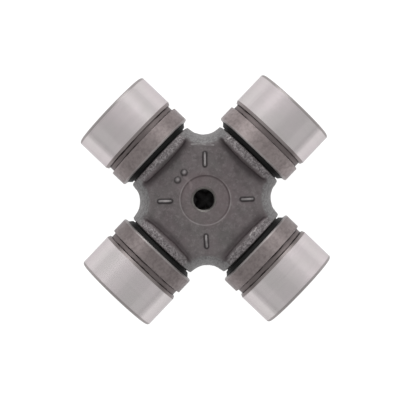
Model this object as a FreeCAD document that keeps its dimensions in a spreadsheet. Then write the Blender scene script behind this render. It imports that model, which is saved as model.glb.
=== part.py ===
import FreeCAD, Part
import Sketcher
import math
import os

# Universal joint cross: a forged four-armed spider whose ground trunnions run
# in four needle bearing cups.
# Millimetres.  Origin where the two trunnion axes cross; arms along +X, -X,
# +Y and -Y; +Z out of the face that carries the tapped grease port.

V3 = FreeCAD.Vector

doc = FreeCAD.newDocument("universal_joint_cross")

# ---------------------------------------------------------------- sizes
SIZES = [
    # forged spider
    ("web_half", 8.0, "half thickness of the flat web"),
    ("crotch_c", 20.4, "crotch centre, measured along both arms"),
    ("arm_r", 13.2, "section radius of the arm where it leaves the web"),
    ("edge_round", 1.5, "round along the edge of the web"),
    ("edge_lift", 0.023, "how far the round's top stands above the web face"),
    ("foot_s", 17.43, "foot of the steep wall of the boss, buried end"),
    ("foot_r", 7.4, "radius of that foot"),
    ("crest_s", 18.12, "inner edge of the boss crest"),
    ("crest_r", 13.45, "radius there"),
    ("shoulder_s", 21.15, "ground shoulder face"),
    ("shoulder_r", 13.15, "boss radius at the shoulder"),
    ("crest_round", 0.8, "round on the inner edge of the crest"),
    ("shoulder_round", 0.5, "round on the shoulder edge"),
    ("root_round", 1.5, "radius at the root of the trunnion"),
    ("trun_r", 9.78, "trunnion radius"),
    ("trun_end", 38.7, "trunnion end face"),
    ("trun_break", 0.9, "chamfer on the trunnion end"),
    ("lube_r", 2.2, "drilled grease passage radius"),
    ("lube_mouth_r", 3.3, "countersunk mouth of the passage"),
    # grease port
    ("port_x", -0.3, "port axis, off the centre as forged and drilled"),
    ("port_y", 0.42, "port axis"),
    ("port_r", 3.46, "tapped bore, minor radius of a fine 8 mm thread"),
    ("port_sink_r", 4.05, "countersink at the port"),
    ("port_foot", 2.4, "lower end of the tapped wall"),
    ("port_tip", 0.4, "drill point"),
    ("spot_r", 8.1, "spot face radius"),
    ("spot_deep", 0.3, "spot face depth"),
    # raised forging marks
    ("rib_in", 11.3, "inner end of a raised rib"),
    ("rib_out", 16.05, "outer end"),
    ("rib_r", 0.6, "rib half width"),
    ("rib_sink", 0.05, "rib axis below the web face"),
    ("dot_x", 1.63, "half spacing of the two raised dots"),
    ("dot_y", 11.15, "distance of the dots from the centre"),
    ("dot_r", 1.05, "dot radius"),
    ("dot_high", 0.5, "dot height"),
    # bearing cup
    ("cup_end", 43.6, "closed end of the cup"),
    ("cup_r", 15.1, "ground outside radius"),
    ("cup_round", 1.0, "round at the closed end"),
    ("ground_in", 31.45, "inner end of the ground surface"),
    ("land_break", 0.45, "radial size of the chamfer beside the groove"),
    ("groove_out", 30.5, "outer wall of the retaining groove"),
    ("groove_in", 28.5, "inner wall of the retaining groove"),
    ("groove_r", 14.03, "groove floor radius"),
    ("collar_r", 14.97, "radius of the collar inboard of the groove"),
    ("collar_edge", 0.12, "edge break at the groove wall"),
    ("rim_s", 22.9, "mouth rim of the cup"),
    ("rim_round", 0.6, "round on the mouth rim"),
    ("seat_r", 13.6, "counterbore for the seal"),
    ("seat_s", 26.0, "floor of that counterbore"),
    ("race_r", 12.2, "needle race in the cup"),
    ("race_lead", 0.4, "lead-in at the race"),
    ("floor_s", 40.1, "inside floor of the cup"),
    ("floor_round", 0.3, "corner radius at the floor"),
    # needles
    ("needle_r", 1.19, "needle radius"),
    ("needle_pitch", 10.99, "pitch radius of the needles"),
    ("needle_in", 26.15, "inner end of a needle"),
    ("needle_out", 38.75, "outer end of a needle"),
    ("needle_break", 0.25, "rounded end of a needle"),
    ("needle_count", 28, "needles in one cup"),
    # thrust washer
    ("washer_in", 38.9, "running face of the thrust washer"),
    ("washer_r", 11.75, "thrust washer radius"),
    ("washer_hole", 2.6, "grease hole in the washer"),
    ("washer_break", 0.3, "edge chamfer of the washer"),
    # seal
    ("case_in", 23.2, "mouth end of the steel seal case"),
    ("case_wall", 0.6, "wall of the seal case"),
    ("case_lip_r", 10.7, "inside radius of its flange"),
    ("seal_face", 21.75, "outer face of the rubber"),
    ("seal_flank_r", 12.62, "radius where the flank meets the face"),
    ("seal_break", 0.12, "edge break on the face"),
    ("lip_face", 21.32, "face lip next to the shoulder"),
    ("lip_out_r", 11.72, "outer radius of the face lip"),
    ("lip_in_r", 11.15, "inner radius of the face lip"),
    ("throat_r", 10.75, "bore of the seal body"),
    ("lip_tip_r", 9.83, "radius at the tip of a wiping lip"),
]

sheet = doc.addObject("Spreadsheet::Sheet", "Sizes")
for row, (alias, value, note) in enumerate(SIZES, start=1):
    sheet.set("A%d" % row, alias)
    sheet.set("B%d" % row, repr(value))
    sheet.set("C%d" % row, note)
    sheet.setAlias("B%d" % row, alias)
doc.recompute()


class Q:
    """A length that keeps its formula in the sheet's aliases next to its value."""

    def __init__(self, text, value):
        self.text, self.value = text, float(value)

    @staticmethod
    def of(x):
        return x if isinstance(x, Q) else Q("%.6g" % x if x >= 0 else "(0 - %.6g)" % -x, x)

    def __add__(self, o):
        o = Q.of(o)
        return Q("(%s + %s)" % (self.text, o.text), self.value + o.value)

    def __radd__(self, o):
        return Q.of(o) + self

    def __sub__(self, o):
        o = Q.of(o)
        return Q("(%s - %s)" % (self.text, o.text), self.value - o.value)

    def __rsub__(self, o):
        return Q.of(o) - self

    def __mul__(self, o):
        o = Q.of(o)
        return Q("(%s * %s)" % (self.text, o.text), self.value * o.value)

    def __rmul__(self, o):
        return Q.of(o) * self

    def __truediv__(self, o):
        o = Q.of(o)
        return Q("(%s / %s)" % (self.text, o.text), self.value / o.value)

    def root(self):
        return Q("sqrt(%s)" % self.text, math.sqrt(self.value))


S = {alias: Q("Sizes." + alias, value) for alias, value, note in SIZES}
ZERO = Q("0", 0.0)


def hypot(a, b):
    return (a * a + b * b).root()


def plane(body, role):
    for item in body.Origin.OriginFeatures:
        if item.Role == role:
            return item


def new_body(label):
    body = doc.addObject("PartDesign::Body", label)
    body.Label = label
    return body


def new_sketch(body, name, role, offset=None, bound=()):
    """A sketch on one of the body's own origin planes.  offset is its place on
    that plane, and bound gives the formula of each offset length."""
    sk = body.newObject("Sketcher::SketchObject", name)
    sk.AttachmentSupport = [(plane(body, role), "")]
    sk.MapMode = "FlatFace"
    if offset is not None:
        sk.AttachmentOffset = offset
    for path, q in bound:
        sk.setExpression(path, q.text)
    return sk


def pin_point(sk, geo, pos, x, y):
    """Hold one point of a sketch by its two coordinates."""
    for q, kind, axis in ((x, "DistanceX", -2), (y, "DistanceY", -1)):
        if q is ZERO:
            sk.addConstraint(Sketcher.Constraint("PointOnObject", geo, pos, axis))
        else:
            n = sk.addConstraint(Sketcher.Constraint(kind, -1, 1, geo, pos, q.value))
            sk.setExpression("Constraints[%d]" % n, q.text)


def profile(sk, points):
    """Close a loop through the points.  A point is (x, y) or, when an arc runs
    from it to the next point, (x, y, centre_x, centre_y, radius, sense) with
    the sense +1 for anticlockwise."""
    ends = []
    count = len(points)
    for i, p in enumerate(points):
        q = points[(i + 1) % count]
        a = V3(p[0].value, p[1].value, 0)
        b = V3(q[0].value, q[1].value, 0)
        if len(p) == 2:
            geo = sk.addGeometry(Part.LineSegment(a, b), False)
            ends.append((geo, 1, 2))
        else:
            cx, cy, rad, sense = p[2].value, p[3].value, p[4], p[5]
            ta = math.atan2(a.y - cy, a.x - cx)
            tb = math.atan2(b.y - cy, b.x - cx)
            if sense < 0:
                ta, tb = tb, ta
            if tb < ta:
                tb += 2 * math.pi
            circle = Part.Circle(V3(cx, cy, 0), V3(0, 0, 1), rad.value)
            geo = sk.addGeometry(Part.ArcOfCircle(circle, ta, tb), False)
            ends.append((geo, 1, 2) if sense > 0 else (geo, 2, 1))
    for i, p in enumerate(points):
        geo, first, last = ends[i]
        nxt, nfirst, nlast = ends[(i + 1) % count]
        sk.addConstraint(Sketcher.Constraint("Coincident", geo, last, nxt, nfirst))
    for i, p in enumerate(points):
        geo, first, last = ends[i]
        pin_point(sk, geo, first, p[0], p[1])
        if len(p) > 2:
            n = sk.addConstraint(Sketcher.Constraint("Radius", geo, p[4].value))
            sk.setExpression("Constraints[%d]" % n, p[4].text)


def rounded(before, corner, after, radius, sense):
    """The two points that replace a corner by a tangent arc."""
    ux, uy = before[0] - corner[0], before[1] - corner[1]
    vx, vy = after[0] - corner[0], after[1] - corner[1]
    ul, vl = hypot(ux, uy), hypot(vx, vy)
    ux, uy, vx, vy = ux / ul, uy / ul, vx / vl, vy / vl
    cosine = ux * vx + uy * vy
    tangent = radius * ((1 + cosine) / (1 - cosine)).root()
    mx, my = ux + vx, uy + vy
    ml = hypot(mx, my)
    reach = radius / ((1 - cosine) / 2).root()
    cx, cy = corner[0] + mx / ml * reach, corner[1] + my / ml * reach
    return [(corner[0] + ux * tangent, corner[1] + uy * tangent, cx, cy, radius, sense),
            (corner[0] + vx * tangent, corner[1] + vy * tangent)]


def spin(body, name, sk, axis, cut=False):
    feat = body.newObject("PartDesign::Groove" if cut else "PartDesign::Revolution", name)
    feat.Profile = sk
    feat.ReferenceAxis = (sk, [axis])
    feat.Angle = 360.0
    sk.Visibility = False
    return feat


def around(body, name, originals, count, role="Z_Axis"):
    feat = body.newObject("PartDesign::PolarPattern", name)
    feat.Originals = originals
    feat.Axis = (plane(body, role), [""])
    feat.Angle = 360.0
    if isinstance(count, Q):
        feat.Occurrences = int(count.value)
        feat.setExpression("Occurrences", count.text)
    else:
        feat.Occurrences = count
    body.Tip = feat
    return feat


def volume(feat):
    return feat.Shape.Volume


def expect(now, before, grows, what):
    """Stop if a feature has not changed the solid the way it should."""
    if (now - before) * (1 if grows else -1) < 1e-3:
        raise RuntimeError("%s changed the volume from %.4f to %.4f" % (what, before, now))


# ---------------------------------------------------------------- spider
def make_spider():
    body = new_body("cross_spider")

    # flat web, a square block before its corners are scooped out
    sk = new_sketch(body, "web_plan", "XY_Plane")
    size = S["crotch_c"] * 2
    a, b = -S["crotch_c"].value, S["crotch_c"].value
    g = [sk.addGeometry(Part.LineSegment(V3(*p, 0), V3(*q, 0)), False)
         for p, q in (((a, a), (b, a)), ((b, a), (b, b)), ((b, b), (a, b)), ((a, b), (a, a)))]
    for i in range(4):
        sk.addConstraint(Sketcher.Constraint("Coincident", g[i], 2, g[(i + 1) % 4], 1))
    sk.addConstraint(Sketcher.Constraint("Horizontal", g[0]))
    sk.addConstraint(Sketcher.Constraint("Horizontal", g[2]))
    sk.addConstraint(Sketcher.Constraint("Vertical", g[1]))
    sk.addConstraint(Sketcher.Constraint("Vertical", g[3]))
    sk.addConstraint(Sketcher.Constraint("Symmetric", g[0], 1, g[1], 2, -1, 1))
    n = sk.addConstraint(Sketcher.Constraint("Distance", g[0], size.value))
    sk.setExpression("Constraints[%d]" % n, size.text)
    n = sk.addConstraint(Sketcher.Constraint("Distance", g[1], size.value))
    sk.setExpression("Constraints[%d]" % n, size.text)
    web = body.newObject("PartDesign::Pad", "web")
    web.Profile = sk
    web.Length = 2 * S["web_half"].value
    web.setExpression("Length", (S["web_half"] * 2).text)
    if "SideType" in web.PropertiesList:
        web.SideType = "Symmetric"
    else:
        web.Midplane = True
    sk.Visibility = False
    doc.recompute()

    # crotch between two arms: a waisted spool turned about a vertical axis,
    # rounded where it meets the web's two faces
    c = S["crotch_c"]
    sk = new_sketch(body, "crotch_profile", "XZ_Plane",
                    FreeCAD.Placement(V3(c.value, 0, -c.value), FreeCAD.Rotation()),
                    (("AttachmentOffset.Base.x", c), ("AttachmentOffset.Base.z", 0 - c)))
    f, top = S["edge_round"], S["web_half"] + S["edge_lift"]
    fz = top - f                                    # centre of the edge round
    run = ((S["arm_r"] - f) * (S["arm_r"] - f) - fz * fz).root()
    fx = c - run
    k = S["arm_r"] / (S["arm_r"] - f)
    tx, tz = c - run * k, fz * k                    # where it meets the arm's arc
    high = S["web_half"] + 2
    # the sketch's x runs from the spool's axis towards the part's middle
    profile(sk, [
        (ZERO, 0 - high),
        (0 - fx, 0 - high),
        (0 - fx, 0 - top, 0 - fx, 0 - fz, f, -1),
        (0 - tx, 0 - tz, 0 - c, ZERO, S["arm_r"], 1),
        (0 - tx, tz, 0 - fx, fz, f, -1),
        (0 - fx, top),
        (0 - fx, high),
        (ZERO, high),
    ])
    spool = spin(body, "crotch", sk, "V_Axis", cut=True)
    doc.recompute()
    expect(volume(spool), volume(web), False, "crotch")
    four = around(body, "crotches", [spool], 4)
    doc.recompute()
    expect(volume(four), volume(spool), False, "crotches")

    # one arm: steep inner wall, boss crest, ground shoulder, trunnion
    sk = new_sketch(body, "arm_profile", "XZ_Plane")
    foot = (S["foot_s"], S["foot_r"])
    crest = (S["crest_s"], S["crest_r"])
    edge = (S["shoulder_s"], S["shoulder_r"])
    root = (S["shoulder_s"], S["trun_r"])
    end = (S["trun_end"], S["trun_r"])
    pts = [(ZERO, ZERO), (ZERO, S["foot_r"]), foot]
    pts += rounded(foot, crest, edge, S["crest_round"], -1)
    pts += rounded(crest, edge, root, S["shoulder_round"], -1)
    pts += rounded(edge, root, end, S["root_round"], 1)
    pts += [(S["trun_end"] - S["trun_break"], S["trun_r"]),
            (S["trun_end"], S["trun_r"] - S["trun_break"] * 0.6),
            (S["trun_end"], ZERO)]
    profile(sk, pts)
    arm = spin(body, "arm", sk, "H_Axis")
    doc.recompute()
    expect(volume(arm), volume(four), True, "arm")
    arms = around(body, "arms", [arm], 4)
    doc.recompute()
    expect(volume(arms), volume(arm), True, "arms")

    # grease passage down one arm, with a countersunk mouth
    sk = new_sketch(body, "passage_profile", "XZ_Plane")
    past = S["trun_end"] + 1
    flare = S["lube_mouth_r"] - S["lube_r"]
    profile(sk, [
        (ZERO, ZERO),
        (past, ZERO),
        (past, S["lube_mouth_r"] + 1),
        (S["trun_end"] - flare, S["lube_r"]),
        (ZERO, S["lube_r"]),
    ])
    bore = spin(body, "passage", sk, "H_Axis", cut=True)
    doc.recompute()
    expect(volume(bore), volume(arms), False, "passage")
    bores = around(body, "passages", [bore], 4)
    doc.recompute()
    expect(volume(bores), volume(bore), False, "passages")

    # spot face on the web
    level = S["web_half"] - S["spot_deep"]
    sk = new_sketch(body, "spot_plan", "XY_Plane",
                    FreeCAD.Placement(V3(0, 0, level.value), FreeCAD.Rotation()),
                    (("AttachmentOffset.Base.z", level),))
    geo = sk.addGeometry(Part.Circle(V3(0, 0, 0), V3(0, 0, 1), S["spot_r"].value), False)
    sk.addConstraint(Sketcher.Constraint("Coincident", geo, 3, -1, 1))
    n = sk.addConstraint(Sketcher.Constraint("Radius", geo, S["spot_r"].value))
    sk.setExpression("Constraints[%d]" % n, S["spot_r"].text)
    spot = body.newObject("PartDesign::Pocket", "spot_face")
    spot.Profile = sk
    spot.Length = 2.0
    spot.Reversed = True
    sk.Visibility = False
    doc.recompute()
    expect(volume(spot), volume(bores), False, "spot_face")

    # tapped port: countersink, wall, drill point that opens the passages
    sk = new_sketch(body, "port_profile", "XZ_Plane",
                    FreeCAD.Placement(V3(S["port_x"].value, 0, -S["port_y"].value),
                                      FreeCAD.Rotation()),
                    (("AttachmentOffset.Base.x", S["port_x"]),
                     ("AttachmentOffset.Base.z", 0 - S["port_y"])))
    sink = S["port_sink_r"] - S["port_r"]
    profile(sk, [
        (ZERO, S["port_tip"]),
        (S["port_r"], S["port_foot"]),
        (S["port_r"], level - sink),
        (S["port_sink_r"] + 0.5, level + 0.5),
        (ZERO, level + 0.5),
    ])
    port = spin(body, "grease_port", sk, "V_Axis", cut=True)
    doc.recompute()
    expect(volume(port), volume(spot), False, "grease_port")

    # raised rib on the diagonal: a round-ended bar half sunk in the web
    height = S["web_half"] - S["rib_sink"]
    sk = new_sketch(body, "rib_profile", "XZ_Plane",
                    FreeCAD.Placement(V3(0, height.value, 0),
                                      FreeCAD.Rotation(V3(0, 1, 0), 45)),
                    (("AttachmentOffset.Base.y", height),))
    r = S["rib_r"]
    i0, o0 = S["rib_in"] + r, S["rib_out"] - r
    profile(sk, [
        (S["rib_in"], ZERO, i0, ZERO, r, -1),
        (i0, r),
        (o0, r, o0, ZERO, r, -1),
        (S["rib_out"], ZERO),
    ])
    rib = spin(body, "rib", sk, "H_Axis")
    doc.recompute()
    expect(volume(rib), volume(port), True, "rib")
    ribs = around(body, "ribs", [rib], 4)
    doc.recompute()
    expect(volume(ribs), volume(rib), True, "ribs")

    # two raised dots: low domes cut from a ball
    rr, hh = S["dot_r"], S["dot_high"]
    ball = (rr * rr + hh * hh) / (hh * 2)
    base = S["web_half"] - 0.4
    sk = new_sketch(body, "dot_profile", "XZ_Plane",
                    FreeCAD.Placement(V3(-S["dot_x"].value, 0, -S["dot_y"].value),
                                      FreeCAD.Rotation()),
                    (("AttachmentOffset.Base.x", 0 - S["dot_x"]),
                     ("AttachmentOffset.Base.z", 0 - S["dot_y"])))
    crown = S["web_half"] + hh
    profile(sk, [
        (ZERO, base),
        (rr, base),
        (rr, S["web_half"], ZERO, crown - ball, ball, 1),
        (ZERO, crown),
    ])
    dot = spin(body, "dot", sk, "V_Axis")
    doc.recompute()
    expect(volume(dot), volume(ribs), True, "dot")
    row = body.newObject("PartDesign::LinearPattern", "dots")
    row.Originals = [dot]
    row.Direction = (plane(body, "X_Axis"), [""])
    row.Length = 2 * S["dot_x"].value
    row.setExpression("Length", (S["dot_x"] * 2).text)
    row.Occurrences = 2
    body.Tip = row
    doc.recompute()
    expect(volume(row), volume(dot), True, "dots")
    return body


# ---------------------------------------------------------------- one cup's pieces
def revolved(label, points, angle):
    body = new_body(label)
    sk = new_sketch(body, label + "_profile", "XZ_Plane")
    profile(sk, points)
    spin(body, label + "_turn", sk, "H_Axis")
    body.Placement = FreeCAD.Placement(V3(0, 0, 0), FreeCAD.Rotation(V3(0, 0, 1), angle))
    return body


def make_cup(side, angle):
    """Hardened cup: closed end, ground outside, retaining groove, dull collar,
    counterbore for the seal and the needle race."""
    end_edge = (S["cup_end"], S["cup_r"])
    ground = (S["ground_in"], S["cup_r"])
    rim = (S["rim_s"], S["collar_r"])
    collar = (S["groove_in"] - S["collar_edge"], S["collar_r"])
    corner = (S["floor_s"], S["race_r"])
    race = (S["seat_s"] + S["race_lead"], S["race_r"])
    pts = [(S["cup_end"], ZERO)]
    pts += rounded((S["cup_end"], ZERO), end_edge, ground, S["cup_round"], 1)
    pts += [
        ground,
        (S["groove_out"], S["cup_r"] - S["land_break"]),
        (S["groove_out"], S["groove_r"]),
        (S["groove_in"], S["groove_r"]),
        (S["groove_in"], S["collar_r"] - S["collar_edge"]),
        collar,
    ]
    pts += rounded(collar, rim, (S["rim_s"], S["seat_r"]), S["rim_round"], 1)
    pts += [
        (S["rim_s"], S["seat_r"]),
        (S["seat_s"], S["seat_r"]),
        (S["seat_s"], S["race_r"] + S["race_lead"]),
        race,
    ]
    pts += rounded(race, corner, (S["floor_s"], ZERO), S["floor_round"], -1)
    pts += [(S["floor_s"], ZERO)]
    return revolved(side + "_cup", pts, angle)


def make_washer(side, angle):
    """Flat thrust washer between the trunnion end and the cup's floor."""
    e = S["washer_break"]
    return revolved(side + "_thrust_washer", [
        (S["washer_in"], S["washer_hole"]),
        (S["floor_s"], S["washer_hole"]),
        (S["floor_s"], S["washer_r"] - e),
        (S["floor_s"] - e, S["washer_r"]),
        (S["washer_in"] + e, S["washer_r"]),
        (S["washer_in"], S["washer_r"] - e),
    ], angle)


def make_case(side, angle):
    """Steel seal case pressed into the cup's mouth; its flange keeps the needles in."""
    inner = S["seat_r"] - S["case_wall"]
    flange = S["seat_s"] - S["case_wall"]
    return revolved(side + "_seal_case", [
        (S["case_in"], inner),
        (S["case_in"], S["seat_r"]),
        (S["seat_s"], S["seat_r"]),
        (S["seat_s"], S["case_lip_r"]),
        (flange, S["case_lip_r"]),
        (flange, inner),
    ], angle)


def make_seal(side, angle):
    """Rubber seal bonded to the case: a flank that swells out of the cup's
    mouth, a face lip next to the shoulder and two wiping lips."""
    inner = S["seat_r"] - S["case_wall"]
    flange = S["seat_s"] - S["case_wall"]
    b = S["seal_break"]
    tip = S["lip_tip_r"]
    return revolved(side + "_lip_seal", [
        (flange, inner),
        (S["case_in"], inner),
        (S["case_in"], S["seat_r"]),
        (S["rim_s"], S["seat_r"]),
        (S["rim_s"] - 0.12, S["seat_r"] - 0.08),
        (S["seal_face"] + b, S["seal_flank_r"] + b * 0.7),
        (S["seal_face"], S["seal_flank_r"]),
        (S["seal_face"], S["lip_out_r"] + 0.12),
        (S["lip_face"], S["lip_out_r"]),
        (S["lip_face"], S["lip_in_r"]),
        (S["seal_face"] + 0.15, S["throat_r"] + 0.15),
        (S["seal_face"] + 0.9, S["throat_r"]),
        (S["seal_face"] + 1.6, tip),
        (S["seal_face"] + 1.8, tip),
        (S["seal_face"] + 2.1, S["throat_r"] - 0.2),
        (S["seal_face"] + 2.4, S["throat_r"] - 0.2),
        (S["seal_face"] + 2.7, tip),
        (S["seal_face"] + 2.9, tip),
        (S["seal_face"] + 3.25, S["throat_r"] - 0.1),
        (flange, S["case_lip_r"] + 0.1),
    ], angle)


def make_needles(side, angle):
    """Full complement of needles round one trunnion, each a solid of its own."""
    label = side + "_needles"
    body = new_body(label)
    body.AllowCompound = True
    pitch = S["needle_pitch"]
    sk = new_sketch(body, label + "_profile", "XZ_Plane",
                    FreeCAD.Placement(V3(0, pitch.value, 0), FreeCAD.Rotation()),
                    (("AttachmentOffset.Base.y", pitch),))
    r, e = S["needle_r"], S["needle_break"]
    a, b = S["needle_in"], S["needle_out"]
    profile(sk, [
        (a, ZERO),
        (a, r - e, a + e, r - e, e, -1),
        (a + e, r),
        (b - e, r, b - e, r - e, e, -1),
        (b, r - e),
        (b, ZERO),
    ])
    one = spin(body, label + "_one", sk, "H_Axis")
    doc.recompute()
    around(body, label + "_ring", [one], S["needle_count"], "X_Axis")
    body.Placement = FreeCAD.Placement(V3(0, 0, 0), FreeCAD.Rotation(V3(0, 0, 1), angle))
    return body


nodes = [make_spider()]
for side, angle in (("right", 0), ("back", 90), ("left", 180), ("front", 270)):
    nodes.append(make_cup(side, angle))
    nodes.append(make_needles(side, angle))
    nodes.append(make_washer(side, angle))
    nodes.append(make_case(side, angle))
    nodes.append(make_seal(side, angle))

doc.recompute()

# ---------------------------------------------------------------- checks
for obj in doc.Objects:
    if "Invalid" in obj.State or "Error" in obj.State:
        raise RuntimeError("%s failed: %s" % (obj.Label, obj.State))
for body in nodes:
    shape = body.Shape
    if shape.isNull() or not shape.isValid():
        raise RuntimeError("%s has no valid shape" % body.Label)
    want = int(S["needle_count"].value) if body.Label.endswith("_needles") else 1
    if len(shape.Solids) != want:
        raise RuntimeError("%s has %d solids" % (body.Label, len(shape.Solids)))
    box = shape.BoundBox
    print("%-22s %9.2f mm3  x %.2f..%.2f  y %.2f..%.2f  z %.2f..%.2f" % (
        body.Label, shape.Volume, box.XMin, box.XMax, box.YMin, box.YMax, box.ZMin, box.ZMax))

# ---------------------------------------------------------------- files
os.makedirs("parts", exist_ok=True)
for body in nodes:
    body.Shape.exportStep("parts/%s.step" % body.Label)
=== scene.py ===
import math

import bmesh
import bpy
import numpy as np
from mathutils import Matrix, Vector


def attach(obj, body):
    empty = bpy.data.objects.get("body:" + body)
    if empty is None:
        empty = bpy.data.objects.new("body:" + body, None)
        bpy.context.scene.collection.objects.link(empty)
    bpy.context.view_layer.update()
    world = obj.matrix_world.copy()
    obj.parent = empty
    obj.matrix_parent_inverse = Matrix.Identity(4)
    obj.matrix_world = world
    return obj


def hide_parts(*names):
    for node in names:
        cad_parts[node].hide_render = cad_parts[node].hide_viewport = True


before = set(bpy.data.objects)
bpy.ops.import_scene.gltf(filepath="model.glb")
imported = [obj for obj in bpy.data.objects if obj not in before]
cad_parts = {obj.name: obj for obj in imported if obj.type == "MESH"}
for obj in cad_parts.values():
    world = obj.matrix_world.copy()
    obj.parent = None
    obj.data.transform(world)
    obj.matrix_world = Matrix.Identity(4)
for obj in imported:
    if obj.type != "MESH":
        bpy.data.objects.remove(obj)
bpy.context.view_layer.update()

MM = 0.001
SIDES = {"right": 0, "back": 90, "left": 180, "front": 270}
# millimetres: the grease port, the raised ribs and dots, knocks on the bosses,
# a scuffed edge of the web, a lap in the skin
PORT, BORE = (-0.3, 0.42), 4.1
RIBS = [((-10.82, 10.62), (-8.24, 8.0)), ((10.96, 10.7), (8.2, 8.02)),
        ((-10.88, -10.95), (-8.5, -8.4)), ((10.87, -11.04), (8.46, -8.68))]
DOTS = [(-1.65, 11.08), (1.6, 11.22)]
NICKS = [((1.72, -18.54), (3.32, -18.02)), ((3.46, -17.98), (4.6, -17.71)), ((3.56, -18.66), (4.79, -18.43)),
         ((19.44, 8.44), (20.64, 8.17))]
SCUFF = [(10.12, 15.95), (11.89, 14.23), (13.32, 12.4), (14.95, 10.54)]
LAP = [(0.66, 10.24), (0.71, 7.9), (0.45, 6.9), (-0.57, 6.1)]
scene = bpy.context.scene

# ---------------------------------------------------------------- camera
# Straight above the part, turned so that +X runs to the picture's upper right.
TURN = math.radians(-46.4)
MM_PER_PIXEL = 0.334
HEIGHT = 0.635
right = Vector((math.cos(TURN), math.sin(TURN), 0))
up = Vector((-math.sin(TURN), math.cos(TURN), 0))
cam_data = bpy.data.cameras.new("camera")
cam = bpy.data.objects.new("camera", cam_data)
scene.collection.objects.link(cam)
cam_data.sensor_width = 36.0
cam_data.lens = 36.0 * HEIGHT / (400 * MM_PER_PIXEL * MM)
cam_data.clip_start, cam_data.clip_end = 0.05, 20
cam.location = (-5.3 * MM_PER_PIXEL * MM) * right + (-0.23 * MM_PER_PIXEL * MM) * up + Vector((0, 0, HEIGHT))
cam.rotation_euler = (0, 0, TURN)
scene.camera = cam
scene.view_settings.view_transform = "Standard"
scene.view_settings.look = "None"


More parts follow.
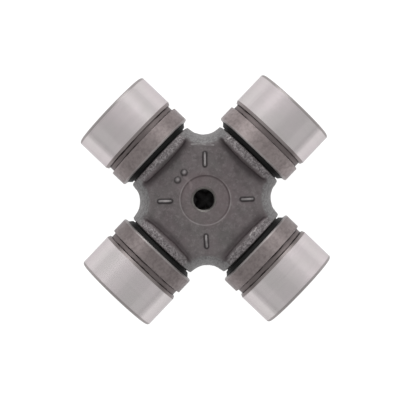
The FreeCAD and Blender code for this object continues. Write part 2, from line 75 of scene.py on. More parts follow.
# ---------------------------------------------------------------- node helpers
class Nodes:
    """Short names for building a material's node tree."""

    def __init__(self, name):
        self.mat = bpy.data.materials.new(name)
        self.mat.use_nodes = True
        self.tree = self.mat.node_tree
        self.tree.nodes.clear()
        self.out = self.new("ShaderNodeOutputMaterial")
        self.bsdf = self.new("ShaderNodeBsdfPrincipled")
        self.link(self.bsdf.outputs[0], self.out.inputs[0])
        self.coord = self.new("ShaderNodeTexCoord").outputs["Object"]

    def new(self, kind, **props):
        n = self.tree.nodes.new(kind)
        for k, v in props.items():
            setattr(n, k, v)
        return n

    def link(self, a, b):
        self.tree.links.new(a, b)

    def put(self, socket, value):
        if isinstance(value, bpy.types.NodeSocket):
            self.link(value, socket)
        else:
            socket.default_value = value

    def math(self, op, a, b=0.0, clamp=False):
        n = self.new("ShaderNodeMath", operation=op, use_clamp=clamp)
        self.put(n.inputs[0], a)
        self.put(n.inputs[1], b)
        return n.outputs[0]

    def axes(self, vector=None):
        n = self.new("ShaderNodeSeparateXYZ")
        self.link(vector or self.coord, n.inputs[0])
        return n.outputs[0], n.outputs[1], n.outputs[2]

    def vector(self, x, y, z):
        n = self.new("ShaderNodeCombineXYZ")
        for i, v in enumerate((x, y, z)):
            self.put(n.inputs[i], v)
        return n.outputs[0]

    def scaled(self, vector, factor):
        n = self.new("ShaderNodeVectorMath", operation="MULTIPLY")
        self.link(vector, n.inputs[0])
        n.inputs[1].default_value = factor
        return n.outputs[0]

    def noise(self, scale, detail=3.0, rough=0.5, vector=None, distortion=0.0):
        n = self.new("ShaderNodeTexNoise")
        self.link(vector or self.coord, n.inputs["Vector"])
        n.inputs["Scale"].default_value = scale
        n.inputs["Detail"].default_value = detail
        n.inputs["Roughness"].default_value = rough
        n.inputs["Distortion"].default_value = distortion
        return n.outputs["Fac"]

    def attribute(self, name):
        return self.new("ShaderNodeAttribute", attribute_name=name).outputs["Fac"]

    def cells(self, scale, vector=None, feature="F1"):
        n = self.new("ShaderNodeTexVoronoi", feature=feature)
        self.link(vector or self.coord, n.inputs["Vector"])
        n.inputs["Scale"].default_value = scale
        return n.outputs["Distance"]

    def length(self, a, b):
        return self.math("SQRT", self.math("ADD", self.math("MULTIPLY", a, a), self.math("MULTIPLY", b, b)))

    def segment(self, x, y, a, b):
        """Distance in plan from the segment a-b, which is given in millimetres."""
        dx, dy = (b[0] - a[0]) * MM, (b[1] - a[1]) * MM
        px, py = self.math("SUBTRACT", x, a[0] * MM), self.math("SUBTRACT", y, a[1] * MM)
        dot = self.math("ADD", self.math("MULTIPLY", px, dx), self.math("MULTIPLY", py, dy))
        t = self.math("DIVIDE", dot, dx * dx + dy * dy, clamp=True)
        return self.length(self.math("SUBTRACT", px, self.math("MULTIPLY", t, dx)),
                           self.math("SUBTRACT", py, self.math("MULTIPLY", t, dy)))

    def least(self, values):
        out = values[0]
        for v in values[1:]:
            out = self.math("MINIMUM", out, v)
        return out

    def times(self, *values):
        out = values[0]
        for v in values[1:]:
            out = self.math("MULTIPLY", out, v)
        return out

    def ramp(self, fac, *stops):
        n = self.new("ShaderNodeValToRGB")
        el = n.color_ramp.elements
        while len(el) < len(stops):
            el.new(0.5)
        for e, (pos, col) in zip(el, stops):
            e.position = pos
            e.color = (*col, 1) if len(col) == 3 else (col[0],) * 3 + (1,)
        self.put(n.inputs[0], fac)
        return n.outputs[0]

    def span(self, value, lo, hi, out_lo=0.0, out_hi=1.0, smooth=False):
        n = self.new("ShaderNodeMapRange", clamp=True)
        if smooth:
            n.interpolation_type = "SMOOTHSTEP"
        self.put(n.inputs["Value"], value)
        n.inputs["From Min"].default_value = lo
        n.inputs["From Max"].default_value = hi
        self.put(n.inputs["To Min"], out_lo)
        self.put(n.inputs["To Max"], out_hi)
        return n.outputs[0]

    def mix(self, fac, a, b):
        n = self.new("ShaderNodeMix", data_type="RGBA")
        self.put(n.inputs[0], fac)
        for socket, v in ((n.inputs[6], a), (n.inputs[7], b)):
            self.put(socket, v if isinstance(v, bpy.types.NodeSocket) else (*v, 1))
        return n.outputs[2]

    def mixf(self, fac, a, b):
        n = self.new("ShaderNodeMix", data_type="FLOAT")
        self.put(n.inputs[0], fac)
        self.put(n.inputs[2], a)
        self.put(n.inputs[3], b)
        return n.outputs[0]

    def bump(self, height, distance, strength=1.0, normal=None):
        n = self.new("ShaderNodeBump")
        n.inputs["Strength"].default_value = strength
        n.inputs["Distance"].default_value = distance
        self.link(height, n.inputs["Height"])
        if normal is not None:
            self.link(normal, n.inputs["Normal"])
        return n.outputs[0]

    def done(self, color, rough, metallic=0.0, normal=None, specular=None):
        self.put(self.bsdf.inputs["Base Color"],
                 color if isinstance(color, bpy.types.NodeSocket) else (*color, 1))
        self.put(self.bsdf.inputs["Roughness"], rough)
        self.put(self.bsdf.inputs["Metallic"], metallic)
        if specular is not None:
            self.bsdf.inputs["Specular IOR Level"].default_value = specular
        if normal is not None:
            self.link(normal, self.bsdf.inputs["Normal"])
        return self.mat


# ---------------------------------------------------------------- materials
def cup_material(name, axis):
    """Hardened steel cup.  Distances along the arm pick out the ground
    outside, the chamfer, the groove, the dull collar and the end."""
    n = Nodes(name)
    x, y, z = n.axes()
    along, across = (x, y) if axis == "x" else (y, x)
    s = n.math("ABSOLUTE", along)
    radius = n.math("SQRT", n.math("ADD", n.math("MULTIPLY", across, across), n.math("MULTIPLY", z, z)))

    def zone(lo, hi, soft=0.00006):
        return n.math("MULTIPLY", n.span(s, lo - soft, lo + soft), n.span(s, hi + soft, hi - soft))

    collar = zone(0.0220, 0.0285)
    groove = n.math("MULTIPLY", zone(0.0285, 0.0305, 0.00002), n.span(radius, 0.0149, 0.0144))
    chamfer = n.math("MULTIPLY", zone(0.0304, 0.03145), n.span(radius, 0.0144, 0.0146))
    shaded_end_round = n.span(s, 0.04255, 0.04275)
    end_face = n.span(s, 0.04345, 0.04355)
    # marks run round the axis: noise drawn out that way, fine along the arm
    stretch = (900.0, 40.0, 40.0) if axis == "x" else (40.0, 900.0, 40.0)
    lines = n.noise(1.0, 4.0, 0.6, n.scaled(n.coord, stretch))
    stretch2 = (3600.0, 60.0, 60.0) if axis == "x" else (60.0, 3600.0, 60.0)
    fine = n.noise(1.0, 2.0, 0.5, n.scaled(n.coord, stretch2))
    cloud = n.noise(85.0, 3.0, 0.5)
    speck = n.noise(900.0, 3.0, 0.6)
    rings = n.noise(1.0, 3.0, 0.6, n.vector(n.math("MULTIPLY", radius, 2200.0), 0.0, 0.0))

    ground = n.mix(n.span(cloud, 0.35, 0.65), (0.545, 0.515, 0.512), (0.58, 0.53, 0.54))
    ground = n.mix(n.span(lines, 0.35, 0.75, 0.0, 0.18), ground, (0.42, 0.395, 0.395))
    dull = n.mix(n.span(cloud, 0.3, 0.7), (0.222, 0.190, 0.187), (0.268, 0.232, 0.229))
    dull = n.mix(n.span(speck, 0.42, 0.75, 0.0, 0.5), dull, (0.13, 0.11, 0.108))
    dull = n.mix(n.span(lines, 0.5, 0.8, 0.0, 0.3), dull, (0.15, 0.125, 0.122))
    # the four cups' collars differ a little in tone
    tone = n.span(along, -0.001, 0.001, *((1.00, 1.32) if axis == "x" else (1.09, 1.11)))
    shade = n.new("ShaderNodeVectorMath", operation="SCALE")
    n.link(dull, shade.inputs[0])
    n.link(tone, shade.inputs["Scale"])
    color = n.mix(collar, ground, shade.outputs[0])
    worn_edge = n.mix(n.span(along, -0.001, 0.001), (0.245, 0.216, 0.212), (0.285, 0.252, 0.248))
    color = n.mix(chamfer, color, worn_edge)
    # groove: scale on the floor, with painted shade where its two sides meet the floor
    patch = n.noise(150.0, 3.0, 0.6)
    edge = n.span(patch, 0.40, 0.60, 0.00022, -0.00012)
    shaded_groove_walls = n.math("MAXIMUM", n.span(n.math("SUBTRACT", s, edge), 0.02890, 0.02862),
                   n.span(n.math("ADD", s, edge), 0.03008, 0.03032))
    floor_c = n.mix(n.span(lines, 0.4, 0.7), (0.175, 0.149, 0.147), (0.225, 0.193, 0.190))
    dashes = n.noise(420.0, 3.0, 0.6)
    # painted shade: near black beside the groove's two sides
    groove_corner_shade = n.mix(n.span(dashes, 0.46, 0.60), (0.022, 0.017, 0.016), (0.085, 0.070, 0.068))
    color = n.mix(groove, color, n.mix(shaded_groove_walls, floor_c, groove_corner_shade))
    # a pale line along the collar's outer edge: polish and a painted highlight
    rim_polish_and_highlight = n.math("MULTIPLY", zone(0.0228, 0.0235, 0.00015), 0.6)
    color = n.mix(rim_polish_and_highlight, color, (0.42, 0.40, 0.395))
    # painted shade: the rounded outer end darker than the ground surface
    color = n.mix(shaded_end_round, color, (0.33, 0.305, 0.302))
    face_c = n.mix(n.span(rings, 0.4, 0.65), (0.36, 0.34, 0.337), (0.45, 0.43, 0.425))
    color = n.mix(end_face, color, face_c)
    rough = n.mixf(collar, n.span(cloud, 0.3, 0.7, 0.21, 0.26), n.span(speck, 0.3, 0.7, 0.46, 0.58))
    rough = n.mixf(groove, rough, 0.55)
    rough = n.mixf(chamfer, rough, 0.45)
    rough = n.mixf(shaded_end_round, rough, 0.42)
    n.bsdf.inputs["Anisotropic"].default_value = 0.78
    n.bsdf.inputs["Anisotropic Rotation"].default_value = 0.25
    n.put(n.bsdf.inputs["Specular Tint"], n.mix(collar, (0.72, 0.70, 0.71), (0.86, 0.85, 0.86)))
    tangent = n.new("ShaderNodeTangent", direction_type="RADIAL", axis=axis.upper())
    n.link(tangent.outputs[0], n.bsdf.inputs["Tangent"])
    bump = n.bump(lines, 0.00002, 0.35)
    bump = n.bump(fine, 0.000008, 0.4, bump)
    grit = n.new("ShaderNodeBump")
    grit.inputs["Distance"].default_value = 0.00005
    n.put(grit.inputs["Strength"], n.math("MULTIPLY", n.math("MAXIMUM", collar, groove), 0.55))
    n.link(speck, grit.inputs["Height"])
    n.link(bump, grit.inputs["Normal"])
    turned = n.new("ShaderNodeBump")
    turned.inputs["Distance"].default_value = 0.00003
    n.put(turned.inputs["Strength"], n.math("MULTIPLY", end_face, 0.6))
    n.link(rings, turned.inputs["Height"])
    n.link(grit.outputs[0], turned.inputs["Normal"])
    return n.done(color, rough, 0.92, turned.outputs[0])


def forging_material():
    """Forged steel under a dark phosphate coat: dark in the hollows (painted shade and dirt), rubbed
    paler on the bosses, ribs and edges, bare on the ground shoulders; painted light on the side walls, painted shade
    and highlights round the ribs, dots and spot face, painted shade inside the port."""
    n = Nodes("forged_phosphate")
    x, y, z = n.axes()
    sx, sy = n.math("ABSOLUTE", x), n.math("ABSOLUTE", y)
    s, w, az = n.math("MAXIMUM", sx, sy), n.math("MINIMUM", sx, sy), n.math("ABSOLUTE", z)
    r = n.length(w, z)
    ring = n.length(x, y)
    hollow, worn = n.attribute("hollow"), n.attribute("worn")
    boss, side = n.attribute("boss"), n.attribute("side")
    inside = n.attribute("inside")
    big = n.noise(95.0, 5.0, 0.6, distortion=0.4)
    tint = n.noise(140.0, 2.0, 0.5, n.scaled(n.coord, (1.0, 1.0, 0.4)))
    mid = n.noise(420.0, 4.0, 0.6)
    grit = n.noise(950.0, 3.0, 0.65)
    small = n.noise(1900.0, 3.0, 0.6)
    base = n.mix(n.span(big, 0.32, 0.68), (0.110, 0.095, 0.096), (0.137, 0.119, 0.121))
    base = n.mix(n.span(tint, 0.5, 0.64, 0.0, 0.6), base, (0.130, 0.104, 0.110))
    base = n.mix(n.span(tint, 0.48, 0.36, 0.0, 0.5), base, (0.108, 0.104, 0.100))
    base = n.mix(n.span(mid, 0.45, 0.72, 0.0, 0.55), base, (0.070, 0.059, 0.060))
    base = n.mix(n.span(grit, 0.51, 0.72, 0.0, 0.6), base, (0.200, 0.182, 0.182))
    speckle = n.math("MULTIPLY", n.math("ADD", grit, small), 0.5)
    rubbed = n.mix(n.span(speckle, 0.42, 0.60), (0.078, 0.067, 0.069), (0.290, 0.266, 0.271))
    rubbed = n.mix(n.span(mid, 0.50, 0.66, 0.0, 0.5), rubbed, (0.105, 0.092, 0.094))
    rubbed = n.mix(n.span(mid, 0.42, 0.30, 0.0, 0.45), rubbed, (0.27, 0.25, 0.255))
    wall = n.math("ADD", n.math("MULTIPLY", r, 0.1137), 0.01743 - 0.1137 * 0.0074)
    gap = n.math("SUBTRACT", wall, s)
    wander = n.math("ADD", gap, n.span(big, 0.3, 0.7, -0.0004, 0.0004))
    crest = n.span(wander, -0.00005, -0.0010, smooth=True)
    base = n.mix(n.times(boss, crest, 0.9), base, rubbed)
    # painted light: the outward-facing sides made paler, over the forging's grain
    lit_flank = n.mix(n.span(speckle, 0.44, 0.57), (0.135, 0.130, 0.130), (0.215, 0.210, 0.211))
    base = n.mix(n.math("MULTIPLY", side, 0.85), base, lit_flank)
    # the sheared flash line half way up, with marks running across it
    height = n.math("ABSOLUTE", n.math("ADD", z, n.span(big, 0.3, 0.7, -0.00022, 0.00022)))
    shear = n.noise(1.0, 3.0, 0.6, n.scaled(n.coord, (3600.0, 3600.0, 240.0)))
    sheared = n.mix(n.span(shear, 0.36, 0.64), (0.150, 0.141, 0.140), (0.262, 0.248, 0.246))
    base = n.mix(n.times(side, n.span(height, 0.00092, 0.00066, smooth=True), n.span(mid, 0.35, 0.65, 0.85, 0.55)), base, sheared)
    base = n.mix(n.times(side, n.span(height, 0.00070, 0.00092), n.span(height, 0.00125, 0.00098), 0.5),
                 base, (0.055, 0.049, 0.049))
    base = n.mix(n.span(worn, 0.12, 0.5, 0.0, 0.6), base, (0.29, 0.27, 0.27))
    # painted shade and dirt: darkest where the surface is most hemmed in
    base = n.mix(n.span(hollow, 0.05, 0.42, 0.0, 0.8), base, (0.024, 0.019, 0.020))
    # scale and painted shade along the bottom of each boss wall
    ends = n.math("ADD", w, n.span(mid, 0.3, 0.7, -0.0008, 0.0008))
    foot_shade_and_scale = n.times(n.span(gap, 0.0026, 0.0002, smooth=True), n.span(gap, -0.0010, -0.0005),
                   n.span(az, 0.0100, 0.0090, smooth=True), n.span(ends, 0.0120, 0.0080, smooth=True))
    foot_shade_and_scale = n.math("MULTIPLY", foot_shade_and_scale, n.span(big, 0.3, 0.6, 0.74, 0.92))
    base = n.mix(foot_shade_and_scale, base, (0.030, 0.020, 0.022))
    # edge of the spot face, the ribs, the dots and the lap, with painted shade and painted highlights round the
    # raised and sunk edges
    top = n.span(z, 0.0055, 0.0065)
    stain = n.times(top, n.span(ring, 0.0105, 0.0078, smooth=True), n.span(big, 0.38, 0.62, 0.15, 0.6))
    base = n.mix(stain, base, (0.142, 0.108, 0.111))
    # painted shade: a dark line at the bottom of the spot face's step, strongest toward +X
    base = n.mix(n.times(top, n.span(ring, 0.00738, 0.00795, smooth=True), n.span(ring, 0.00830, 0.00808),
                         n.span(x, -0.006, 0.006, 0.4, 1.0), n.span(big, 0.3, 0.6, 0.45, 0.75)), base, (0.044, 0.027, 0.030))
    # painted highlight: a pale line on the step's outer lip, faint on the +X+Y side
    base = n.mix(n.times(top, n.span(ring, 0.00816, 0.00832), n.span(ring, 0.00872, 0.00844),
                         n.span(n.math("ADD", x, y), 0.0105, 0.0050, 0.1, 1.0), n.span(mid, 0.35, 0.65, 0.65, 0.30)),
                 base, (0.29, 0.27, 0.27))
    rib = n.least([n.segment(x, y, *ends) for ends in RIBS])
    dot = n.least([n.segment(x, y, p, (p[0] + 0.01, p[1])) for p in DOTS])
    lap = n.least([n.segment(x, y, LAP[i], LAP[i + 1]) for i in range(len(LAP) - 1)])
    # painted shade: a dark outline round each rib
    base = n.mix(n.times(top, n.span(rib, 0.00112, 0.0007, smooth=True), n.span(mid, 0.35, 0.65, 0.6, 0.88)), base, (0.018, 0.013, 0.014))
    # painted highlight and wear: a pale line along each rib's top
    base = n.mix(n.times(top, n.span(rib, 0.00050, 0.00018, smooth=True), n.span(mid, 0.35, 0.62, 0.95, 0.35)),
                 base, (0.34, 0.32, 0.32))
    # painted highlight: a pale spot on each dot, set off toward +X+Y
    dot_highlight = n.least([n.segment(x, y, (p[0] + 0.15, p[1] + 0.12), (p[0] + 0.16, p[1] + 0.12)) for p in DOTS])
    # painted shade: a dark ring round each dot
    base = n.mix(n.times(top, n.span(dot, 0.0015, 0.00105, smooth=True), 0.62), base, (0.024, 0.018, 0.019))
    base = n.mix(n.times(top, n.span(dot_highlight, 0.0010, 0.00015, smooth=True), 0.75), base, (0.30, 0.275, 0.28))
    base = n.mix(n.times(top, n.span(lap, 0.0006, 0.0002, smooth=True), 0.4), base, (0.23, 0.19, 0.195))
    nick = n.least([n.segment(x, y, *ends) for ends in NICKS])
    base = n.mix(n.times(boss, n.span(gap, 0.0001, -0.0003), n.span(nick, 0.00032, 0.00008, smooth=True),
                         n.span(grit, 0.35, 0.6, 0.3, 0.9)), base, (0.44, 0.42, 0.41))
    scuff = n.least([n.segment(x, y, SCUFF[i], SCUFF[i + 1]) for i in range(len(SCUFF) - 1)])
    base = n.mix(n.times(top, n.span(scuff, 0.00042, 0.00012, smooth=True), n.span(mid, 0.42, 0.56, 0.15, 0.75)),
                 base, (0.30, 0.285, 0.285))
    # painted shade: the inside of the port and the passages near black
    base = n.mix(inside, base, (0.017, 0.014, 0.014))
    shoulder = n.math("MULTIPLY", n.span(s, 0.02108, 0.02114), n.span(r, 0.0131, 0.0128))
    metal = n.mix(n.span(mid, 0.3, 0.7), (0.16, 0.15, 0.15), (0.24, 0.23, 0.23))
    color = n.mix(shoulder, base, metal)
    metallic = n.mixf(shoulder, 0.2, 0.9)
    rough = n.mixf(shoulder, n.span(mid, 0.3, 0.7, 0.50, 0.64), 0.35)
    b = n.bump(mid, 0.00010, 0.5)
    b = n.bump(grit, 0.00012, 0.65, b)
    b = n.bump(small, 0.00004, 0.7, b)
    return n.done(color, rough, metallic, b, 0.5)


def steel_material(name, color, rough, axis=None, metallic=1.0):
    n = Nodes(name)
    if axis is None:
        lines = n.noise(700.0, 4.0, 0.6)
    else:
        stretch = {"x": (1600.0, 60.0, 60.0), "y": (60.0, 1600.0, 60.0)}[axis]
        lines = n.noise(1.0, 4.0, 0.6, n.scaled(n.coord, stretch))
    cloud = n.noise(200.0, 4.0, 0.55)
    c = n.mix(n.span(cloud, 0.3, 0.7), tuple(k * 0.86 for k in color), color)
    c = n.mix(n.span(lines, 0.4, 0.8, 0.0, 0.3), c, tuple(k * 0.6 for k in color))
    return n.done(c, n.span(cloud, 0.3, 0.7, rough * 0.85, rough * 1.15), metallic,
                  n.bump(lines, 0.00001, 0.5))


def rubber_material():
    """Moulded black rubber with a light bloom."""
    n = Nodes("seal_rubber")
    cloud = n.noise(260.0, 4.0, 0.6)
    grain = n.noise(2600.0, 3.0, 0.6)
    c = n.mix(n.span(cloud, 0.35, 0.75), (0.006, 0.006, 0.006), (0.012, 0.0115, 0.011))
    c = n.mix(n.span(grain, 0.6, 0.85, 0.0, 0.3), c, (0.03, 0.029, 0.028))
    return n.done(c, n.span(cloud, 0.3, 0.7, 0.5, 0.65), 0.0, n.bump(grain, 0.00002, 0.6), 0.16)


def nylon_material():
    n = Nodes("washer_nylon")
    cloud = n.noise(300.0, 4.0, 0.55)
    c = n.mix(n.span(cloud, 0.3, 0.7), (0.74, 0.72, 0.66), (0.82, 0.80, 0.75))
    return n.done(c, n.span(cloud, 0.3, 0.7, 0.4, 0.5), 0.0, n.bump(cloud, 0.00002, 0.4))


def paint(obj, mat):
    """Give every material slot of a carried-over node the new finish."""
    if not obj.material_slots:
        obj.data.materials.append(mat)
    for slot in obj.material_slots:
        slot.material = mat


forged = forging_material()
cup_mat = {"x": cup_material("cup_steel_x", "x"), "y": cup_material("cup_steel_y", "y")}
needle_mat = steel_material("needle_steel", (0.66, 0.66, 0.67), 0.18)
case_mat = steel_material("case_steel", (0.38, 0.37, 0.36), 0.35)
rubber = rubber_material()
nylon = nylon_material()
for side, angle in SIDES.items():
    axis = "x" if angle % 180 == 0 else "y"
    paint(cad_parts[side + "_cup"], cup_mat[axis])
    paint(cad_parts[side + "_needles"], needle_mat)
    paint(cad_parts[side + "_thrust_washer"], nylon)
    paint(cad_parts[side + "_seal_case"], case_mat)
    paint(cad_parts[side + "_lip_seal"], rubber)
paint(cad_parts["cross_spider"], forged)


# ---------------------------------------------------------------- forged body
# The spider as a distance field in millimetres: the same sizes as the solid,
# with the soft blends and uneven skin of a forging.
CROTCH, ARM = 20.4, 13.2


def step(v, lo, hi):
    t = np.clip((v - lo) / (hi - lo), 0, 1)
    return t * t * (3 - 2 * t)


def rounded_cut(a, b, r):
    return np.minimum(-r, np.maximum(a, b)) + np.hypot(np.maximum(r + a, 0), np.maximum(r + b, 0))


def filleted(a, b, r):
    return np.maximum(r, np.minimum(a, b)) - np.hypot(np.maximum(r - a, 0), np.maximum(r - b, 0))


def bar(x, y, z, a, b, r):
    d = [q - p for p, q in zip(a, b)]
    t = np.clip(((x - a[0]) * d[0] + (y - a[1]) * d[1] + (z - a[2]) * d[2]) / sum(k * k for k in d), 0, 1)
    return np.sqrt((x - a[0] - t * d[0]) ** 2 + (y - a[1] - t * d[1]) ** 2 + (z - a[2] - t * d[2]) ** 2) - r


def forging(x, y, z):
    ax, ay = np.abs(x), np.abs(y)
    s, w, az = np.maximum(ax, ay), np.minimum(ax, ay), np.abs(z)
    r = np.hypot(w, z)
    rho = np.hypot(np.maximum(CROTCH - s, 0), CROTCH - w)
    size = ARM - 0.11 * np.clip(s - 19.6, 0, 3)
    envelope = np.where(s < CROTCH, np.hypot(np.maximum(CROTCH - rho, 0), z), r) - size
    wall = -0.9936 * (s - 17.43) + 0.1130 * (r - 7.4)
    d = rounded_cut(envelope, filleted(az - 8.0, wall, 0.9), 0.9)
    d = rounded_cut(d, s - 21.15, 0.5)
    d = filleted(d, np.maximum(r - 9.76, 19.5 - s), 1.4)
    for a, b in RIBS:
        d = filleted(d, bar(x, y, z, (*a, 8.0), (*b, 8.0), 0.55), 0.12)
    for a in DOTS:
        d = filleted(d, np.sqrt((x - a[0]) ** 2 + (y - a[1]) ** 2 + (z - 7.55) ** 2) - 1.08, 0.1)
    d = np.maximum(d, s - 22.9)
    q = np.hypot(x, y)
    d = np.maximum(d, z - 7.7 - 0.3 * step(q, 7.8, 8.35) - 3 * np.maximum(q - 8.35, 0))
    d = np.maximum(d, 2.2 - r)
    d = np.maximum(d, 2.2 - np.hypot(s, z))
    q = np.hypot(x - PORT[0], y - PORT[1])
    return np.maximum(d, -np.maximum(q - BORE, (q - BORE * (z - 0.4) / 2.0) * 0.44))


def skin_mesh(field, lo, hi, h):
    """Vertices and quads of the field's zero surface on a grid of step h."""
    n = [int(math.ceil((hi[i] - lo[i]) / h)) + 1 for i in range(3)]
    ax = [(lo[i] + h * np.arange(n[i])).astype(np.float32) for i in range(3)]
    f = np.empty(n, np.float32)
    for i in range(0, n[0], 24):
        f[i:i + 24] = field(*np.meshgrid(ax[0][i:i + 24], ax[1], ax[2], indexing="ij"))
    inside = f < 0
    count = np.zeros([k - 1 for k in n], np.int8)
    corners = [(a, b, c) for a in (0, 1) for b in (0, 1) for c in (0, 1)]
    for a, b, c in corners:
        count += inside[a:n[0] - 1 + a, b:n[1] - 1 + b, c:n[2] - 1 + c]
    active = (count > 0) & (count < 8)
    cell = np.stack(np.nonzero(active), 1)
    index = np.full(active.shape, -1, np.int64)
    index[active] = np.arange(len(cell))
    total, hits = np.zeros((len(cell), 3)), np.zeros(len(cell))
    for c0 in corners:
        for d in range(3):
            if c0[d]:
                continue
            c1 = tuple(1 if i == d else c0[i] for i in range(3))
            p0, p1 = cell + c0, cell + c1
            f0, f1 = f[tuple(p0.T)], f[tuple(p1.T)]
            m = (f0 < 0) != (f1 < 0)
            p = p0[m].astype(float)
            p[:, d] += f0[m] / (f0[m] - f1[m])
            total[m] += p
            hits[m] += 1
    verts = total / hits[:, None] * h + np.array(lo)
    quads = []
    for d in range(3):
        e, g = [(1, 2), (2, 0), (0, 1)][d]
        s0, s1 = [slice(None)] * 3, [slice(None)] * 3
        s0[d], s1[d] = slice(0, -1), slice(1, None)
        at = np.stack(np.nonzero(inside[tuple(s0)] != inside[tuple(s1)]), 1)

        def cell_at(de, dg):
            t = at.copy()
            t[:, e] -= de
            t[:, g] -= dg
            return index[tuple(t.T)]

        q = np.stack([cell_at(1, 1), cell_at(0, 1), cell_at(0, 0), cell_at(1, 0)], 1)
        quads.append(np.where(inside[tuple(at.T)][:, None], q, q[:, ::-1]))
    return verts, np.concatenate(quads)


def slope(field, p, e=0.02):
    g = np.empty_like(p)
    for i in range(3):
        d = np.zeros(3)
        d[i] = e
        g[:, i] = (field(*(p + d).T) - field(*(p - d).T)) / (2 * e)
    return g


def lattice_noise(p, seed):
    """Smooth noise about 0 with a feature size of 1."""
    table = np.random.default_rng(seed).uniform(-1, 1, (64, 64, 64))
    i = np.floor(p).astype(int)
    t = p - i
    t = t * t * t * (t * (t * 6 - 15) + 10)
    out = 0.0
    for a in (0, 1):
        for b in (0, 1):
            for c in (0, 1):
                k = (i + (a, b, c)) & 63
                wt = ((t[:, 0] if a else 1 - t[:, 0]) * (t[:, 1] if b else 1 - t[:, 1])
                      * (t[:, 2] if c else 1 - t[:, 2]))
                out = out + wt * table[k[:, 0], k[:, 1], k[:, 2]]
    return out


def new_mesh(name, verts, faces, mats, smooth=True):
    me = bpy.data.meshes.new(name)
    me.from_pydata([tuple(v) for v in np.asarray(verts) * MM], [], [tuple(int(i) for i in f) for f in faces])
    me.validate()
    for m in mats:
        me.materials.append(m)
    me.polygons.foreach_set("use_smooth", [smooth] * len(me.polygons))
    me.update()
    ob = bpy.data.objects.new(name, me)
    scene.collection.objects.link(ob)
    return ob


def make_forging():
    h = 0.32
    v, q = skin_mesh(forging, (-23.2, -23.2, -14.08), (23.2, 23.2, 14.08), h)
    for _ in range(3):
        f, g = forging(*v.T), slope(forging, v)
        move = -(f / ((g * g).sum(1) + 1e-9))[:, None] * g
        size = np.linalg.norm(move, axis=1, keepdims=True)
        v = v + move * np.minimum(1, 0.12 / np.maximum(size, 1e-9))
    g = slope(forging, v)
    g /= np.linalg.norm(g, axis=1, keepdims=True) + 1e-9
    ax, ay, az = np.abs(v[:, 0]), np.abs(v[:, 1]), np.abs(v[:, 2])
    s, w = np.maximum(ax, ay), np.minimum(ax, ay)
    r = np.hypot(w, v[:, 2])
    q0 = np.hypot(v[:, 0], v[:, 1])
    # machined: shoulder, trunnion stub, bores, spot face
    raw = step(21.0 - s, 0.0, 0.15) * step(np.maximum(r - 2.5, 7.0 - az), 0, 0.2)
    port_wall = np.hypot(v[:, 0] - PORT[0], v[:, 1] - PORT[1]) < BORE + 0.25
    raw[port_wall & (v[:, 2] > 0)] = 0
    raw[(q0 < 8.2) & (v[:, 2] > 0)] *= 0.4
    boss = step(az, 8.2, 9.2)
    web = step(np.abs(g[:, 2]), 0.9, 0.99) * (1 - boss)
    out = (g[:, 0] * v[:, 0] + g[:, 1] * v[:, 1]) / (q0 + 1e-9)
    side = (1 - boss) * (1 - web) * step(out, -0.1, 0.25)
    big = lattice_noise(v / 3.1, 1)
    lump = lattice_noise(v / 1.25 + 11.3, 2)
    fine = lattice_noise(v / 0.62 + 5.7, 3)
    push = boss * (0.09 * lump + 0.05 * fine + 0.05 * big)
    push += side * (0.05 * big + 0.045 * lump + 0.02 * fine)
    push += web * (0.035 * big + 0.018 * lump + 0.012 * fine)
    # trimmed flash line round the middle of the forging
    line = np.exp(-((v[:, 2] + 0.12 * lattice_noise(v / 4.0, 4)) / 0.85) ** 4) * side * step(s, 9.0, 11.0)
    push += line * (0.15 + 0.04 * lump)
    # how hemmed in each point is, for the painted shade and dirt in the hollows
    hollow = np.zeros(len(v))
    for reach, share in ((0.5, 0.25), (1.2, 0.3), (2.4, 0.3), (4.0, 0.15)):
        hollow += share * np.clip(1 - forging(*(v + g * reach).T) / reach, 0, 1)
    hollow *= 1 - step(s, 14.2, 15.4) * step(10.5 - az, 0, 0.5)
    worn = np.clip(1 + forging(*(v - g * 0.45).T) / 0.45, 0, 1) * raw
    # inside the port and the passages: the mask for the painted shade there
    inside = ((np.hypot(v[:, 0] - PORT[0], v[:, 1] - PORT[1]) < BORE + 0.05) & (v[:, 2] > 0) & (v[:, 2] < 7.5)
              | (r < 2.35)).astype(float)
    marks = {"hollow": hollow, "worn": worn, "boss": step(az, 8.3, 9.3) * raw,
             "side": side * raw * step(s, 9.0, 11.0), "inside": inside}
    v = v + g * (push * raw)[:, None]
    return v, q, marks


def lathe(points, angle_deg, turns=144, closed=False):
    """Turn an (s, r) outline about the arm's axis: vertices and faces."""
    a = np.arange(turns) * 2 * math.pi / turns
    verts, faces = [], []
    for s, r in points:
        verts += [(s, r * math.cos(t), r * math.sin(t)) for t in a]
    rows = len(points)
    for i in range(rows if closed else rows - 1):
        j = (i + 1) % rows
        for k in range(turns):
            m = (k + 1) % turns
            faces.append((i * turns + k, i * turns + m, j * turns + m, j * turns + k))
    verts = np.array(verts)
    c, n = math.cos(math.radians(angle_deg)), math.sin(math.radians(angle_deg))
    verts[:, 0], verts[:, 1] = verts[:, 0] * c - verts[:, 1] * n, verts[:, 0] * n + verts[:, 1] * c
    return verts, faces


def make_trunnions():
    """The ground trunnions beyond the forged body, hollow for the grease."""
    outline = [(22.9, 2.2), (37.6, 2.2), (38.7, 3.3), (38.7, 9.24), (38.62, 9.34),
               (37.9, 9.74), (37.75, 9.78), (22.95, 9.78), (22.9, 9.76)]
    verts, faces, base = [], [], 0
    for angle in SIDES.values():
        v, f = lathe(outline, angle, 96, closed=True)
        verts.append(v)
        faces += [tuple(i + base for i in q[::-1]) for q in f]
        base += len(v)
    return np.concatenate(verts), faces


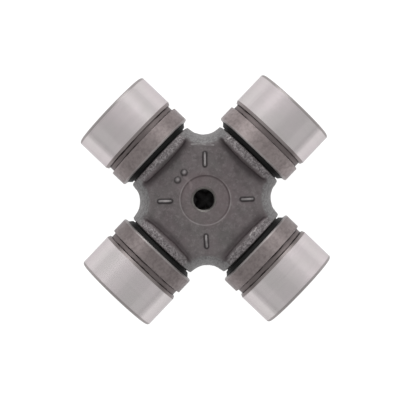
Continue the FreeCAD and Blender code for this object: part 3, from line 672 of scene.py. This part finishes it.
def make_thread():
    """The port's fine thread as a ring let into the bore, with its countersink."""
    pitch, core, root = 1.0, 3.46, 4.0
    turns, rows = 120, 64
    z0, z1 = 2.35, 7.7
    verts, faces = [], []
    for i in range(rows):
        z = z0 + (z1 - z0) * i / (rows - 1)
        for k in range(turns):
            t = k / turns
            phase = ((z / pitch - t) % 1.0)
            saw = max(0.0, min(1.0, 1.18 - 2.36 * abs(phase - 0.5)))
            r = root - (root - core) * saw
            r = max(r, 4.05 - (7.7 - z) * 1.0)
            r = min(r, BORE - 0.02)
            a = 2 * math.pi * t
            verts.append((PORT[0] + r * math.cos(a), PORT[1] + r * math.sin(a), z))
    for z in (z1, z0):
        for k in range(turns):
            a = 2 * math.pi * k / turns
            verts.append((PORT[0] + BORE * math.cos(a), PORT[1] + BORE * math.sin(a), z))
    total = rows + 2
    for i in range(total):
        j = (i + 1) % total
        for k in range(turns):
            m = (k + 1) % turns
            faces.append((i * turns + k, j * turns + k, j * turns + m, i * turns + m))
    return np.array(verts), faces


ground_mat = steel_material("trunnion_steel", (0.55, 0.54, 0.53), 0.25)
thread_mat = steel_material("thread_steel", (0.24, 0.225, 0.215), 0.4, metallic=0.8)

v, q, marks = make_forging()
body = new_mesh("cross_forging", v, q, [forged])
for name, values in marks.items():
    body.data.attributes.new(name, "FLOAT", "POINT").data.foreach_set("value", values.astype(np.float32))
v, f = make_trunnions()
pins = new_mesh("cross_trunnions", v, f, [ground_mat])
v, f = make_thread()
thread = new_mesh("port_thread", v, f, [thread_mat])
for ob in (body, pins, thread):
    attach(ob, "cross")
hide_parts("cross_spider")

# ---------------------------------------------------------------- floor and light
floor_me = bpy.data.meshes.new("floor")
size, low = 40.0, -0.01512
floor_me.from_pydata([(-size, -size, low), (size, -size, low), (size, size, low), (-size, size, low)], [], [(0, 1, 2, 3)])
floor = bpy.data.objects.new("floor", floor_me)
scene.collection.objects.link(floor)
fm = Nodes("glowing_floor")
fm.bsdf.inputs["Base Color"].default_value = (0.20, 0.20, 0.20, 1)
fm.bsdf.inputs["Roughness"].default_value = 0.9
fm.bsdf.inputs["Specular IOR Level"].default_value = 0.1
fm.bsdf.inputs["Emission Color"].default_value = (1, 1, 1, 1)
# the floor glows: its light is brightest round the part, softer farther out and toward the picture's lower side
fx, fy, fz = fm.axes()
spread = fm.span(fm.length(fx, fy), 0.098, 0.24, smooth=True)
toward = fm.math("ADD", fm.math("MULTIPLY", fx, up.x), fm.math("MULTIPLY", fy, up.y))
fm.put(fm.bsdf.inputs["Emission Strength"],
       fm.mixf(spread, 0.97, fm.span(toward, -0.08, 0.05, 0.62, 0.86, smooth=True)))
under = fm.new("ShaderNodeMixShader")
fm.link(fm.new("ShaderNodeNewGeometry").outputs["Backfacing"], under.inputs[0])
fm.link(fm.bsdf.outputs[0], under.inputs[1])
fm.link(fm.new("ShaderNodeBsdfTransparent").outputs[0], under.inputs[2])
fm.link(under.outputs[0], fm.out.inputs[0])
floor_me.materials.append(fm.mat)

# A soft studio round the table: paler on the picture's upper side, with one
# broad light low on that side and a dimmer ceiling.
world = bpy.data.worlds.new("studio")
scene.world = world
world.use_nodes = True
wt = world.node_tree
wt.nodes.clear()


def wnode(kind, **props):
    n = wt.nodes.new(kind)
    for k, v in props.items():
        setattr(n, k, v)
    return n


def wmath(op, a, b=0.0):
    n = wnode("ShaderNodeMath", operation=op)
    for socket, v in zip(n.inputs, (a, b)):
        if isinstance(v, bpy.types.NodeSocket):
            wt.links.new(v, socket)
        else:
            socket.default_value = v
    return n.outputs[0]


def wspan(v, lo, hi, a=0.0, b=1.0):
    n = wnode("ShaderNodeMapRange", interpolation_type="SMOOTHSTEP")
    wt.links.new(v, n.inputs["Value"])
    for k, x in (("From Min", lo), ("From Max", hi), ("To Min", a), ("To Max", b)):
        n.inputs[k].default_value = x
    return n.outputs[0]


def wdot(direction):
    n = wnode("ShaderNodeVectorMath", operation="DOT_PRODUCT")
    wt.links.new(way, n.inputs[0])
    n.inputs[1].default_value = direction
    return n.outputs["Value"]


way = wnode("ShaderNodeTexCoord").outputs["Generated"]
high = wdot((0, 0, 1))
upper = wdot(tuple(up))
key_way = (up * math.cos(math.radians(27)) + Vector((0, 0, math.sin(math.radians(27))))).normalized()
key = wspan(wdot(tuple(key_way)), math.cos(math.radians(28)), math.cos(math.radians(12)), 0.0, 2.9)
half = wspan(upper, -0.015, 0.02)
band = wspan(high, 0.76, 0.73)
lower_band = wmath("MULTIPLY", wspan(high, 0.66, 0.60), wspan(high, 0.16, 0.24))
strips = wmath("ADD", wmath("MULTIPLY", wmath("MULTIPLY", half, band), 0.15),
               wmath("MULTIPLY", wmath("SUBTRACT", 1.0, half), wmath("MULTIPLY", lower_band, 0.11)))
base = wmath("ADD", 0.87, wmath("MULTIPLY", half, 0.19))
total = wmath("ADD", wmath("ADD", base, strips), key)
bg = wnode("ShaderNodeBackground")
wt.links.new(total, bg.inputs["Strength"])
wt.links.new(bg.outputs[0], wnode("ShaderNodeOutputWorld").inputs[0])
